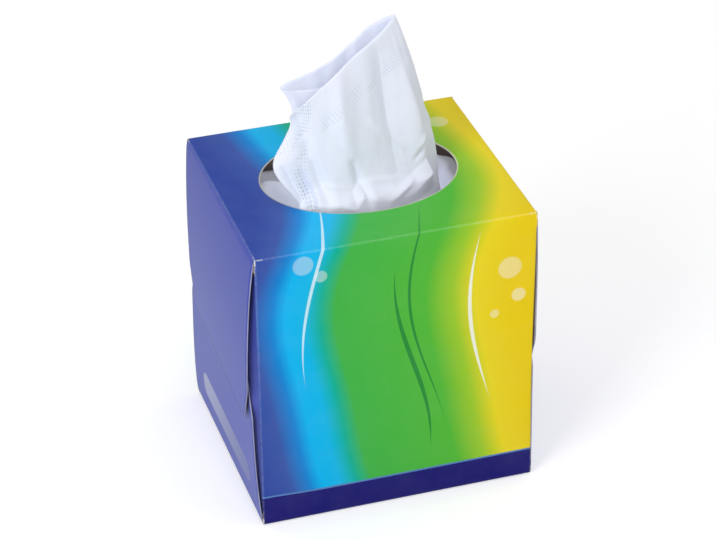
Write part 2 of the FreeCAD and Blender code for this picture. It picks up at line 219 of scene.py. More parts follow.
def carton_sheet():
    """The folded board: wrap, end strips, upper and lower flaps, and dust flaps."""
    sheet = SheetMaker("carton_board")
    flat_x = HALF_W - CREASE
    flat_y = HALF_D - CREASE
    xs = panel_stops(flat_x, 49)
    ys = panel_stops(flat_y, 43)
    zs = panel_stops(HEIGHT / 2 - CREASE, 53,
                     (HEIGHT / 2 - DUST_NOTCH, DUST_NOTCH - HEIGHT / 2,
                      HEIGHT / 2 - DUST_NOTCH + NOTCH_STEP, DUST_NOTCH - HEIGHT / 2 - NOTCH_STEP))
    zs = zs + HEIGHT / 2
    sine, less, plain = arc_shares()
    quarter = CREASE * np.pi / 2

    # Print length along the wrap: 0 at the front panel's foot, on over the top and down the back.
    front_v = zs
    top_v = HEIGHT - 2 * CREASE + quarter + CREASE + (ys + flat_y)
    back_v = top_v[-1] + quarter + (HEIGHT - CREASE - zs)

    sheet.add(settle(lay(xs[None, :], -HALF_D, zs[:, None])),
              pair(xs[None, :], front_v[:, None]), (0, -1, 0))
    sheet.add(settle(lay(xs[None, :], HALF_D, zs[:, None])),
              pair(xs[None, :], back_v[:, None]), (0, 1, 0))
    sheet.add(settle(lay(xs[None, :], ys[:, None], 0.0)),
              pair(xs[None, :], (-quarter - flat_y - ys)[:, None]), (0, 0, -1))
    add_top_panel(sheet, xs, ys, top_v)

    # Creases of the wrap, each run out flat to the die-cut ends.
    out_xs = np.concatenate([[-HALF_W], xs, [HALF_W]])
    creases = [
        (-HALF_D + CREASE * less, HEIGHT - CREASE + CREASE * sine, front_v[-1] + quarter * plain,
         (0, -1, 1)),
        (HALF_D - CREASE * less, HEIGHT - CREASE + CREASE * sine, back_v[-1] - quarter * plain,
         (0, 1, 1)),
        (-HALF_D + CREASE * less, CREASE - CREASE * sine, CREASE - quarter * plain, (0, -1, -1)),
        (HALF_D - CREASE * less, CREASE - CREASE * sine, back_v[0] + quarter * plain, (0, 1, -1)),
    ]
    for crease_y, crease_z, crease_v, outward in creases:
        sheet.add(settle(lay(out_xs[None, :], crease_y[:, None], crease_z[:, None])),
                  pair(out_xs[None, :], crease_v[:, None]), outward)

    for side in (-1, 1):
        bend = side * (flat_x + CREASE * sine)
        straight = side * (flat_x + CREASE * plain)
        # Strips where the front and back panels turn into the dust flaps.
        hinged = ((zs > DUST_NOTCH - 1e-7) & (zs < HEIGHT - DUST_NOTCH + 1e-7))[:, None]
        for face, panel_v in ((-1, front_v), (1, back_v)):
            strip_x = np.where(hinged, bend[None, :], straight[None, :])
            strip_y = np.where(hinged, face * (HALF_D - CREASE * less)[None, :], face * HALF_D)
            sheet.add(settle(lay(strip_x, strip_y, zs[:, None])),
                      pair(side * (flat_x + quarter * plain)[None, :], panel_v[:, None]),
                      (side, face, 0))
            add_dust_flap(sheet, side, face, zs[hinged[:, 0]])
        # Strips where the top and bottom panels turn into the outer flaps.
        sheet.add(settle(lay(bend[None, :], ys[:, None], (HEIGHT - CREASE * less)[None, :])),
                  pair(side * (flat_x + quarter * plain)[None, :], top_v[:, None]),
                  (side, 0, 1))
        sheet.add(settle(lay(bend[None, :], ys[:, None], (CREASE * less)[None, :])),
                  pair(side * (flat_x + quarter * plain)[None, :],
                       (-quarter - flat_y - ys)[:, None]), (side, 0, -1))
        for upper, (gape, belly) in zip((True, False), FLAP_STAND[side]):
            add_outer_flap(sheet, side, ys, upper, gape * MM, belly * MM)
    return sheet.build()


def add_top_panel(sheet, xs, ys, top_v):
    """Top panel as rings from the oval's rim out to the creases."""
    rim_x = np.concatenate([xs, np.full(len(ys) - 2, xs[-1]), xs[::-1],
                            np.full(len(ys) - 2, xs[0]), xs[:1]])
    rim_y = np.concatenate([np.full(len(xs), ys[0]), ys[1:-1], np.full(len(xs), ys[-1]),
                            ys[::-1][1:-1], ys[:1]])
    angle = np.arctan2((rim_y - OVAL_Y) / HALF_D, (rim_x - OVAL_X) / HALF_W)
    oval_x = OVAL_X + OVAL_LENGTH / 2 * np.cos(angle)
    oval_y = OVAL_Y + OVAL_WIDTH / 2 * np.sin(angle)
    rings = np.linspace(0, 1, 17)[:, None] ** 1.25
    ring_x = oval_x[None, :] + (rim_x - oval_x)[None, :] * rings
    ring_y = oval_y[None, :] + (rim_y - oval_y)[None, :] * rings
    ring_v = np.interp(ring_y, ys, top_v)
    sheet.add(settle(lay(ring_x, ring_y, HEIGHT)), pair(ring_x, ring_v), (0, 0, 1))


def add_outer_flap(sheet, side, ys, upper, gape, belly):
    """Upper or lower end flap, with its two free corners tapered."""
    reach = UPPER_FLAP if upper else LOWER_FLAP
    hinge = HEIGHT - CREASE if upper else CREASE
    free = HEIGHT - reach if upper else reach
    stops = np.concatenate([np.linspace(0, 0.04, 4)[:-1], np.linspace(0.04, 1, 38)])
    levels = hinge + (free - hinge) * stops
    corner = np.clip(1 - np.abs(levels - free) / TAPER_LENGTH, 0, 1) * TAPER_DEPTH
    widen = np.clip(np.abs(levels - hinge) / (3.0 * MM), 0, 1) * FLAP_WIDENING
    half = (HALF_D - CREASE) + widen - corner
    flap_y = half[:, None] * (ys / ys[-1])[None, :]
    flap_z = np.broadcast_to(levels[:, None], flap_y.shape)
    if upper:
        stand = flap_stand(HEIGHT - flap_z, flap_y, reach, 1.02 * MM, gape, belly, 0.8)
    else:
        stand = flap_stand(flap_z, flap_y, reach, 0.51 * MM, gape, belly, 0.6)
    stand[0] = 0
    sheet.add(settle(lay(side * (HALF_W + stand), flap_y, flap_z)), pair(flap_y, flap_z),
              (side, 0, 0), END_SLOT)


def add_dust_flap(sheet, side, face, levels):
    """Dust flap behind the outer flaps, hinged on the front or back panel."""
    reach = np.linspace(0, DUST_FLAP - CREASE, 20)
    share = reach / reach[-1]
    low = DUST_NOTCH * (1 + share)
    up = (levels - levels[0]) / (levels[-1] - levels[0])
    flap_z = low[:, None] + (HEIGHT - 2 * low)[:, None] * up[None, :]
    flap_y = face * (HALF_D - CREASE - reach)
    spring = 2.4 * MM if side < 0 and face < 0 else 0.0
    lift = np.sin(np.pi * up) * (1 + 0.4 * np.clip((up - 0.42) / 0.25, 0, 1))
    bow = spring * np.sin(np.pi * share ** 0.45)[:, None] * lift[None, :]
    sheet.add(settle(lay(side * (HALF_W + bow), flap_y[:, None], flap_z)),
              pair(flap_y[:, None], flap_z), (side, 0, 0), END_SLOT)


# Tissues

def cubic_weights(count, samples):
    """Weights of a clamped cubic spline's poles at these shares of its length."""
    knots = np.concatenate([[0] * 3, np.linspace(0, 1, count - 2), [1] * 3])
    place = np.clip(np.asarray(samples, float), 0, 1 - 1e-9)[:, None]
    weights = ((knots[:-1] <= place) & (place < knots[1:])).astype(float)
    for degree in (1, 2, 3):
        left = knots[degree:-1] - knots[:-degree - 1]
        right = knots[degree + 1:] - knots[1:-degree]
        rise = np.divide(place - knots[:-degree - 1], left, out=np.zeros((len(place), len(left))),
                         where=left > 0)
        fall = np.divide(knots[degree + 1:] - place, right,
                         out=np.zeros((len(place), len(right))), where=right > 0)
        weights = rise * weights[:, :-1] + fall * weights[:, 1:]
    return weights


def soft_noise(first, second, cell, seed):
    """Smooth noise from -1 to 1 over two co-ordinates."""
    values = np.random.default_rng(seed).uniform(-1, 1, (257, 257))
    column = first / cell + 41.3
    row = second / cell + 87.1
    left = np.floor(column).astype(int)
    foot = np.floor(row).astype(int)
    across = column - left
    up = row - foot
    across = across * across * across * (across * (6 * across - 15) + 10)
    up = up * up * up * (up * (6 * up - 15) + 10)
    corner = values[left % 257, foot % 257] * (1 - across) * (1 - up)
    corner += values[(left + 1) % 257, foot % 257] * across * (1 - up)
    corner += values[left % 257, (foot + 1) % 257] * (1 - across) * up
    corner += values[(left + 1) % 257, (foot + 1) % 257] * across * up
    return corner


def creased_noise(first, second, cell, seed):
    """Noise with sharp crests, as paper crumples."""
    return 1 - 2 * np.abs(soft_noise(first, second, cell, seed)) ** 0.8


# The standing tissue, gathered by the oval. Each run goes up the sheet, in order from its
# hidden cut edge between the layers, round the left fold, behind, round the right fold and
# along the front to the curled cut edge. X and Y are shares of the oval's half length and half
# width; heights are millimetres above the top panel.
STANDING_RUNS = [
    ("hidden cut edge", [(.45, .04, -18.9), (.38, .08, -4), (.37, .12, 6), (.32, .13, 20),
                         (.24, .12, 38), (.14, .07, 51)]),
    ("hidden middle", [(.00, .06, -18.9), (-.08, .08, -4), (-.08, .10, 6), (-.08, .13, 19),
                       (-.08, .14, 30), (-.12, .12, 38)]),
    ("before the left fold", [(-.42, -.10, -18.9), (-.50, -.22, -4), (-.56, -.20, 6),
                              (-.62, -.10, 15), (-.46, .08, 27), (-.62, .20, 36.6)]),
    ("left fold", [(-.66, -.14, -18.9), (-.70, -.34, -4), (-.88, -.30, 6), (-1.08, -.14, 15),
                   (-.54, .14, 27), (-.80, .28, 38.8)]),
    ("behind the left fold", [(-.58, .06, -18.9), (-.58, -.14, -4), (-.66, -.14, 6),
                              (-.70, -.02, 17), (-.46, .25, 29), (-.56, .31, 40.5)]),
    ("back left", [(-.42, .24, -18.9), (-.46, .00, -4), (-.46, .02, 6), (-.44, .12, 18),
                   (-.33, .29, 31), (-.33, .29, 44)]),
    ("back middle", [(-.05, .28, -18.9), (-.12, .24, -4), (-.12, .25, 6), (-.11, .28, 20),
                     (-.07, .28, 36), (-.07, .25, 51)]),
    ("back right", [(.46, .28, -18.9), (.36, .25, -4), (.38, .25, 6), (.33, .25, 22),
                    (.26, .20, 42), (.16, .15, 62.5)]),
    ("behind the fold", [(.76, .12, -18.9), (.74, .15, -4), (.74, .15, 6), (.69, .13, 24),
                         (.54, .10, 47), (.37, .06, 66.5)]),
    ("fold", [(.86, -.06, -18.9), (.84, .00, -4), (.83, .02, 6), (.76, .02, 24), (.60, .02, 48),
              (.41, .02, 67)]),
    ("before the fold", [(.86, -.40, -18.9), (.74, -.20, -4), (.75, -.14, 6), (.67, -.09, 24),
                         (.51, -.04, 47), (.33, -.03, 65.5)]),
    ("front right", [(.62, -.80, -18.9), (.48, -.55, -4), (.46, -.42, 5), (.41, -.33, 22),
                     (.31, -.18, 44), (.20, -.11, 61.5)]),
    ("front middle", [(.08, -.98, -18.9), (.03, -.80, -3), (.03, -.49, 5), (.01, -.42, 20),
                      (-.04, -.28, 39), (-.07, -.20, 56)]),
    ("front left", [(-.42, -.92, -18.9), (-.36, -.80, -3), (-.38, -.58, 5), (-.41, -.47, 18),
                    (-.39, -.36, 34), (-.40, -.30, 47)]),
    ("lobe", [(-.66, -.72, -18.9), (-.66, -.72, -4), (-.74, -.54, 5), (-.78, -.42, 17),
              (-.62, -.35, 29), (-.66, -.33, 39)]),
    ("curled cut edge", [(-.72, -.52, -18.9), (-.70, -.56, -4), (-.80, -.46, 6),
                         (-1.09, -.30, 16), (-.72, -.20, 26), (-.76, -.28, 34.5)]),
]

# Share of the way round the sheet at which the front begins.
FRONT_START = 10.2 / 15

# Line of sharp bends across the front, as (x, z) in millimetres. Below it the front runs outward.
FRONT_BENDS = [(-31.0, 124.0), (-21.5, 131.0), (-8.0, 127.6), (-4.2, 132.0), (-1.6, 129.6),
               (14.6, 127.0), (18.5, 127.4), (25.0, 131.5), (30.0, 124.0)]

# Folds drawn on the front: start and end as (x, z), depth with hollows below zero, and half
# width, all in millimetres, and how soft the fold is, from 0 for sharp to 1.
FRONT_FOLDS = [
    ((-21.5, 131.2), (-8.0, 127.9), 0.9, 0.8, 0.0),
    ((-1.6, 129.8), (14.6, 127.2), 0.9, 0.8, 0.0),
    ((-6.4, 138), (-1.6, 119), -2.3, 1.2, 0.0),
    ((18.2, 125.6), (6.0, 121.0), 1.3, 0.9, 0.0),
    ((8.4, 178), (13.0, 130), -3.6, 3.6, 0.4),
    ((-10.5, 172), (-9.0, 133), 2.8, 3.4, 0.8),
    ((20.0, 168), (24.5, 128), 2.6, 2.8, 0.8),
    ((-27.5, 161), (-23.8, 143), -2.8, 2.2, 0.6),
    ((-24.4, 146), (-18.0, 125), -3.0, 1.7, 0.0),
    ((22.6, 137), (30.0, 147), 1.4, 0.9, 0.0),
    ((20.5, 132), (28.5, 139), -1.5, 0.9, 0.0),
    ((-15.0, 124.0), (-5.0, 119.0), 1.2, 0.9, 0.0),
    ((-34.0, 138.5), (-28.6, 126.5), -2.8, 0.8, 0.0),
    ((2.5, 152), (16.5, 138), 1.1, 1.2, 0.0),
    ((-16.0, 156), (-7.0, 138), -1.0, 1.8, 0.7),
]


def courses(columns):
    """Shares of the way round the sheet at each column, closer together on the front."""
    return np.interp(np.linspace(0, 1, columns), [0, 0.45, 1], [0, 0.62, 1])


def standing_surface(columns, rows):
    """Grid of points over the visible part of the standing tissue, from its hem up."""
    poles = np.array([[(OVAL_X + x * OVAL_LENGTH / 2, OVAL_Y + y * OVAL_WIDTH / 2,
                        HEIGHT + z * MM) for x, y, z in run] for _, run in STANDING_RUNS])
    along = cubic_weights(len(poles), courses(columns))
    upward = cubic_weights(poles.shape[1], np.interp(np.linspace(0, 1, rows), [0, 0.62, 1],
                                                     [0, 0.5, 1]))
    return np.einsum("rj,ci,ijk->rck", upward, along, poles)


def pleat_rows(hem, passes=12, steps=3):
    """Rows of the sheet's unseen lower half, pleated to and fro inside its own hem."""
    pleat_rise = 0.8 * MM
    centre = hem.mean(axis=0)
    rows = []
    size = 1.0
    lift = 0.0
    for turn in range(passes):
        goal = 0.14 if turn % 2 == 0 else 0.95 - 0.018 * turn
        for step in range(1, steps + 1):
            share = step / steps
            here = size + (goal - size) * share
            rise = lift + pleat_rise * share
            ring = centre + (hem - centre) * here
            ring[:, 2] = hem[:, 2] + rise
            rows.append(ring)
        size = goal
        lift += pleat_rise
    return np.array(rows[::-1])


def sheet_normals(points):
    """Unit normals of a grid of points."""
    across = np.gradient(points, axis=1)
    upward = np.gradient(points, axis=0)
    normals = np.cross(across, upward)
    return normals / np.maximum(np.linalg.norm(normals, axis=-1, keepdims=True), 1e-12)


def fold_mark(x, z, start, end, depth, width, soft):
    """Depth of a fold drawn on the front from one (x, z) point to another, sharp or soft."""
    start = np.array(start) * MM
    end = np.array(end) * MM
    run = end - start
    share = ((x - start[0]) * run[0] + (z - start[1]) * run[1]) / (run @ run)
    near = np.clip(share, 0, 1)
    away = np.hypot(x - start[0] - near * run[0], z - start[1] - near * run[1])
    taper = np.sin(np.pi * np.clip(0.12 + 0.76 * share, 0, 1))
    tent = 0.6 * np.clip(1 - away / (2.2 * width * MM), 0, 1) + 0.4 * np.exp(-away / (width * MM))
    swell = np.exp(-(away / (1.35 * width * MM)) ** 2)
    return depth * MM * (tent + soft * (swell - tent)) * np.clip(taper, 0, 1)


def shelf_below_creases(x, z):
    """How far the front runs outward below its sharp bends, down to the rim."""
    bend_x, bend_z = np.array(FRONT_BENDS).T * MM
    return 0.55 * np.clip(np.interp(x, bend_x, bend_z) - z, 0, 6.5 * MM)


def standing_folds(points, along, above, course):
    """How far the standing tissue's folds and crumples move it along its normal.

    The course is 0 at the hidden cut edge and 1 at the curled one.
    """
    x, y, z = points[..., 0], points[..., 1], points[..., 2]
    height = np.clip((z - HEIGHT) / TISSUE_RISE, 0, 1)
    gather = np.exp(-np.clip(z - HEIGHT, 0, None) / (22 * MM))
    drift = soft_noise(along, above, 0.030, 5) * 0.006
    front = np.clip((course - FRONT_START) / 0.04, 0, 1)
    calm = 1 - 0.65 * front
    move = (0.22 + 0.50 * gather) * calm * MM * np.sin(2 * np.pi * (along + drift) / 0.0142 + 0.8)
    move += (0.06 + 0.30 * gather) * calm * MM * np.sin(2 * np.pi * (along - 1.4 * drift) / 0.0083)
    move += 0.40 * calm * MM * soft_noise(along, above * 0.5, 0.019, 11)
    move += (0.06 + 0.08 * gather) * MM * creased_noise(along, above * 0.6, 0.0085, 17)
    move += 0.035 * MM * creased_noise(along, above, 0.0036, 23)
    marks = 0.0
    for start, end, depth, width, soft in FRONT_FOLDS:
        marks = marks + fold_mark(x, z, start, end, depth, width, soft)
    marks += shelf_below_creases(x, z)
    free = np.clip((z - HEIGHT + 6 * MM) / (6 * MM), 0, 1)
    edge = 1 - 0.75 * np.clip(1 - (1 - height) / 0.12, 0, 1)
    return (move * edge + front * marks) * free


def curled_edge(points, course):
    """How the cut edge turns towards the front at the neck, with a groove behind it."""
    level = np.exp(-((points[..., 2] - 128 * MM) / (9 * MM)) ** 2)
    turned = np.clip((course - 0.976) / 0.024, 0, 1) ** 1.5
    groove = np.exp(-((course - 0.966) / 0.008) ** 2)
    move = np.zeros_like(points)
    move[..., 0] = level * (0.2 * turned + 1.6 * groove) * MM
    move[..., 1] = level * (3.4 * groove - 3.6 * turned) * MM
    return move


def standing_tissue():
    """The tissue that stands half pulled out, with its lower half pleated below the oval."""
    columns = 261
    rows = 125
    shown = standing_surface(columns, rows)
    neck = 72
    lengths = np.linalg.norm(np.diff(shown[neck], axis=0), axis=-1)
    along = np.concatenate([[0], np.cumsum(lengths)])
    along = np.broadcast_to(along[None, :], shown.shape[:2])
    course = courses(columns)[None, :]
    steps = np.linalg.norm(np.diff(shown[::-1], axis=0), axis=-1)
    below = np.concatenate([np.zeros((1, columns)), np.cumsum(steps, axis=0)])[::-1]
    folds = standing_folds(shown, along, -below, course)
    shown = shown - sheet_normals(shown) * folds[..., None]
    shown = shown + curled_edge(shown, course)
    shown[..., 2] = np.maximum(shown[..., 2], HEM_FLOOR)
    pleats = pleat_rows(shown[0])
    points = np.concatenate([pleats, shown])
    under = below[0][None, :] + np.linspace(0.045, 0.001, len(pleats))[:, None]
    prints = pair(np.broadcast_to(along[0, -1] - along[:1], (len(points), columns)),
                  np.concatenate([under, below]))
    sheet = SheetMaker("standing_sheet")
    sheet.add(points, prints, (0, -1, 0))
    piece = sheet.build(weld=1e-8)
    thicken(piece, TISSUE, 0.0)
    apply_modifiers(piece)
    return piece


def clip_drape(run, across, level):
    """Point over the bent clip: run along it from the middle, level above its surface."""
    half = CLIP_HALF + level
    radius = CLIP_BEND + level
    flat = half - radius
    sign = np.sign(run)
    reach = np.abs(run)
    turn = np.clip((reach - flat) / radius, 0, np.pi / 2)
    down = np.clip(reach - flat - radius * np.pi / 2, 0, None)
    x = sign * (np.minimum(reach, flat) + radius * np.sin(turn))
    z = CLIP_TOP - CLIP_BEND + radius * np.cos(turn) - down
    return lay(x, across, z)


def next_rise(x, y, half_depth):
    """How far the next tissue's upper half is drawn up off the clip, clear of the standing one."""
    middle = np.clip((55 * MM - np.abs(x)) / (9 * MM), 0, 1)
    middle = middle * middle * (3 - 2 * middle)
    bridge = np.clip((np.abs(x) - 20 * MM) / (18 * MM), 0, 1) ** 1.2
    bridge = bridge * np.where(x > 0, 6.5 * MM, 4.2 * MM)
    bridge = bridge * np.clip(1 - (y - 20 * MM) / (8 * MM), 0, 1)
    behind = np.clip((y - 11.5 * MM) / (4 * MM), 0, 1)
    beside = np.clip(np.where(x > 0, x - 37 * MM, -31 * MM - x) / (4 * MM), 0, 1)
    beside = beside * np.clip((y + 14 * MM) / (8 * MM), 0, 1)
    clear = np.maximum(behind * behind * (3 - 2 * behind), beside)
    crest = 20.0 * MM + 1.6 * MM * np.sin(x / 0.011) + 2.0 * MM * soft_noise(x, y * 0, 0.021, 31)
    away = np.abs(y - crest)
    ridge = (6.0 + 1.4 * np.sin(x / 0.013 + 1.0)) * MM * np.exp(-(away / (5.2 * MM)) ** 1.35)
    inside = np.clip((half_depth - np.abs(y)) / (6 * MM), 0, 1)
    crumple = 0.72 * MM * (1 + soft_noise(x, y, 0.012, 37))
    crumple = crumple + 1.5 * MM * (1 + creased_noise(x, y, 0.0125, 41))
    crumple = crumple + 0.50 * MM * (1 + creased_noise(x + 0.4 * y, y, 0.0056, 43))
    return (ridge + crumple + bridge) * clear * middle * inside


def next_tissue():
    """The following tissue: folded in half over the clip, its upper half drawn up in a ridge."""
    half_run = 98 * MM
    half_depth = 46.0 * MM
    low = 0.16 * MM
    high = 0.62 * MM
    middle = (low + high) / 2
    swing = (high - low) / 2
    runs = np.linspace(-half_run, half_run, 131)[None, :]
    fold = np.linspace(0, np.pi, 7)[1:-1]
    upper = np.linspace(-half_depth, half_depth, 75)
    lower = np.linspace(half_depth, -half_depth, 47)
    depths = np.concatenate([upper, half_depth + swing * np.sin(fold), lower])[:, None]
    levels = np.concatenate([np.full(len(upper), high), middle + swing * np.cos(fold),
                             np.full(len(lower), low)])[:, None]
    points = clip_drape(runs, depths, levels)
    is_upper = (np.arange(len(depths)) < len(upper))[:, None]
    drawn_up = next_rise(points[..., 0], points[..., 1], half_depth)
    points[..., 2] += np.where(is_upper, drawn_up, 0)
    prints = pair(runs, np.concatenate([[0], np.cumsum(np.hypot(
        np.diff(depths[:, 0]), np.diff(levels[:, 0])))])[:, None])
    sheet = SheetMaker("next_sheet")
    sheet.add(points, prints, (0, 0, 1))
    piece = sheet.build(weld=1e-8)
    thicken(piece, NEXT_TISSUE, 0.0)
    apply_modifiers(piece)
    return piece


# Materials

class Nodes:
    """Short ways to place and join the nodes of one material or group."""

    def __init__(self, tree):
        self.tree = tree

    def place(self, kind, **settings):
        node = self.tree.nodes.new(kind)
        for name, value in settings.items():
            setattr(node, name, value)
        return node

    def feed(self, socket, value):
        if isinstance(value, bpy.types.NodeSocket):
            self.tree.links.new(value, socket)
        else:
            socket.default_value = value

    def math(self, operation, first, second=0.0, third=0.0, clamp=False):
        node = self.place("ShaderNodeMath", operation=operation, use_clamp=clamp)
        for socket, value in zip(node.inputs, (first, second, third)):
            self.feed(socket, value)
        return node.outputs[0]

    def blend(self, share, first, second):
        node = self.place("ShaderNodeMix", data_type="RGBA")
        self.feed(node.inputs["Factor"], share)
        self.feed(node.inputs[6], first)
        self.feed(node.inputs[7], second)
        return node.outputs[2]

    def band(self, value, low, high, from_value=0.0, to_value=1.0, smooth=True):
        """Value carried from low..high to from_value..to_value."""
        node = self.place("ShaderNodeMapRange", interpolation_type="SMOOTHSTEP" if smooth
                          else "LINEAR")
        for socket, number in zip(node.inputs, (value, low, high, from_value, to_value)):
            self.feed(socket, number)
        return node.outputs[0]

    def noise(self, vector, scale, detail=3.0, roughness=0.5):
        node = self.place("ShaderNodeTexNoise")
        self.feed(node.inputs["Vector"], vector)
        self.feed(node.inputs["Scale"], scale)
        self.feed(node.inputs["Detail"], detail)
        self.feed(node.inputs["Roughness"], roughness)
        return node.outputs["Fac"]

    def ramp(self, value, stops):
        node = self.place("ShaderNodeValToRGB")
        self.feed(node.inputs[0], value)
        elements = node.color_ramp.elements
        while len(elements) < len(stops):
            elements.new(0.5)
        for element, (position, colour) in zip(elements, stops):
            element.position = position
            element.color = colour
        return node.outputs["Color"]

    def call(self, group, **inputs):
        node = self.place("ShaderNodeGroup", node_tree=group)
        for name, value in inputs.items():
            self.feed(node.inputs[name], value)
        return node

    def split(self, vector):
        """The three parts of a vector."""
        node = self.place("ShaderNodeSeparateXYZ")
        self.feed(node.inputs[0], vector)
        return node.outputs

    def reach(self, first, second):
        """Length of a plane vector."""
        squares = self.math("ADD", self.math("POWER", first, 2.0), self.math("POWER", second, 2.0))
        return self.math("SQRT", squares)

    def emboss(self, shader, height, strength, distance):
        """Bump on a shader from a height."""
        bump = self.place("ShaderNodeBump")
        bump.inputs["Strength"].default_value = strength
        bump.inputs["Distance"].default_value = distance
        self.feed(bump.inputs["Height"], height)
        self.feed(shader.inputs["Normal"], bump.outputs[0])


def new_group(name, inputs, outputs):
    """Node group with named float, colour or vector sockets, and its Nodes helper."""
    group = bpy.data.node_groups.new(name, "ShaderNodeTree")
    for label, kind, default in inputs:
        socket = group.interface.new_socket(label, in_out="INPUT", socket_type="NodeSocket" + kind)
        if default is not None:
            socket.default_value = default
    for label, kind in outputs:
        group.interface.new_socket(label, in_out="OUTPUT", socket_type="NodeSocket" + kind)
    nodes = Nodes(group)
    entry = nodes.place("NodeGroupInput")
    result = nodes.place("NodeGroupOutput")
    return group, nodes, entry.outputs, result.inputs


def new_material(name):
    """Material with a Principled shader, and its Nodes helper."""
    material = bpy.data.materials.new(name)
    material.use_nodes = True
    nodes = Nodes(material.node_tree)
    shader = material.node_tree.nodes["Principled BSDF"]
    return material, nodes, shader


def board_grain_group():
    """Faint mottle and tooth of varnished folding board."""
    group, nodes, entry, result = new_group(
        "board grain", [("Place", "Vector", None), ("Tooth", "Float", 1.0)],
        [("Mottle", "Float"), ("Height", "Float")])
    coarse = nodes.noise(entry["Place"], 90.0, 3.0, 0.55)
    fine = nodes.noise(entry["Place"], 1400.0, 2.0, 0.6)
    waves = nodes.noise(entry["Place"], 22.0, 1.0, 0.5)
    nodes.feed(result["Mottle"], nodes.band(coarse, 0.3, 0.7, 0.0, 1.0))
    height = nodes.math("ADD", nodes.math("MULTIPLY", fine, 0.12),
                        nodes.math("MULTIPLY", waves, 0.15))
    height = nodes.math("MULTIPLY", height, entry["Tooth"])
    nodes.feed(result["Height"], height)
    return group


def crease_wear_group():
    """Mask of rubbed print along the carton's folds and at its corners."""
    group, nodes, entry, result = new_group(
        "crease wear", [("Place", "Vector", None), ("Amount", "Float", 1.0)],
        [("Rub", "Float"), ("Scuff", "Float")])
    parts = nodes.split(entry["Place"])
    away_x = nodes.math("SUBTRACT", HALF_W, nodes.math("ABSOLUTE", parts[0]))
    away_y = nodes.math("SUBTRACT", HALF_D, nodes.math("ABSOLUTE", parts[1]))
    middle_z = nodes.math("SUBTRACT", parts[2], HEIGHT / 2)
    away_z = nodes.math("SUBTRACT", HEIGHT / 2, nodes.math("ABSOLUTE", middle_z))
    near = [nodes.band(away, 0.0, 0.0010, 1.0, 0.0) for away in (away_x, away_y, away_z)]
    xy = nodes.math("MULTIPLY", near[0], near[1])
    yz = nodes.math("MULTIPLY", near[1], near[2])
    zx = nodes.math("MULTIPLY", near[2], near[0])
    fold = nodes.math("MAXIMUM", nodes.math("MAXIMUM", xy, yz), zx)
    patchy = nodes.band(nodes.noise(entry["Place"], 420.0, 6.0, 0.7), 0.20, 0.80)
    rub = nodes.math("MULTIPLY", nodes.math("MULTIPLY", fold, patchy), entry["Amount"],
                     clamp=True)
    near_corner = [nodes.band(away, 0.0, 0.0050, 1.0, 0.0) for away in (away_x, away_y, away_z)]
    near_corner = nodes.math("MULTIPLY", nodes.math("MULTIPLY", near_corner[0], near_corner[1]),
                             near_corner[2])
    torn = nodes.band(nodes.noise(entry["Place"], 900.0, 4.0, 0.7), 0.40, 0.50)
    scuff = nodes.math("MULTIPLY", nodes.band(near_corner, 0.12, 0.40),
                       nodes.band(fold, 0.45, 0.85))
    scuff = nodes.math("MULTIPLY", nodes.math("MULTIPLY", scuff, torn), entry["Amount"],
                       clamp=True)
    nodes.feed(result["Rub"], rub)
    nodes.feed(result["Scuff"], scuff)
    return group


def paper_fibre_group():
    """Soft fibre bump and faint clouding of tissue."""
    group, nodes, entry, result = new_group(
        "paper fibre", [("Place", "Vector", None)], [("Cloud", "Float"), ("Height", "Float")])
    cloud = nodes.noise(entry["Place"], 160.0, 4.0, 0.6)
    fibre = nodes.noise(entry["Place"], 2600.0, 3.0, 0.7)
    crepe = nodes.noise(entry["Place"], 520.0, 4.0, 0.62)
    height = nodes.math("ADD", nodes.math("MULTIPLY", fibre, 0.25),
                        nodes.math("MULTIPLY", crepe, 0.75))
    nodes.feed(result["Cloud"], cloud)
    nodes.feed(result["Height"], height)
    return group


def dot_row_group():
    """Round embossed dots in staggered rows, in a band of the sheet."""
    group, nodes, entry, result = new_group(
        "embossed dots",
        [("Along", "Float", 0.0), ("Across", "Float", 0.0), ("Low", "Float", 0.0),
         ("High", "Float", 0.01)], [("Dots", "Float")])
    pitch = 1.55 * MM
    row = nodes.math("DIVIDE", entry["Across"], pitch * 0.82)
    odd = nodes.math("MULTIPLY", nodes.math("MODULO", nodes.math("FLOOR", row), 2.0), 0.5)
    column = nodes.math("ADD", nodes.math("DIVIDE", entry["Along"], pitch), odd)
    off_row = nodes.math("SUBTRACT", nodes.math("FRACT", row), 0.5)
    off_column = nodes.math("SUBTRACT", nodes.math("FRACT", column), 0.5)
    dot = nodes.band(nodes.reach(off_row, off_column), 0.16, 0.36, 1.0, 0.0)
    inside = nodes.math("MULTIPLY", nodes.math("GREATER_THAN", entry["Across"], entry["Low"]),
                        nodes.math("LESS_THAN", entry["Across"], entry["High"]))
    spot = nodes.place("ShaderNodeCombineXYZ")
    nodes.feed(spot.inputs[0], entry["Along"])
    nodes.feed(spot.inputs[1], entry["Across"])
    pressed = nodes.band(nodes.noise(spot.outputs[0], 95.0, 2.0, 0.5), 0.42, 0.60, 0.12, 1.0)
    dots = nodes.math("MULTIPLY", dot, inside)
    nodes.feed(result["Dots"], nodes.math("MULTIPLY", dots, pressed))
    return group


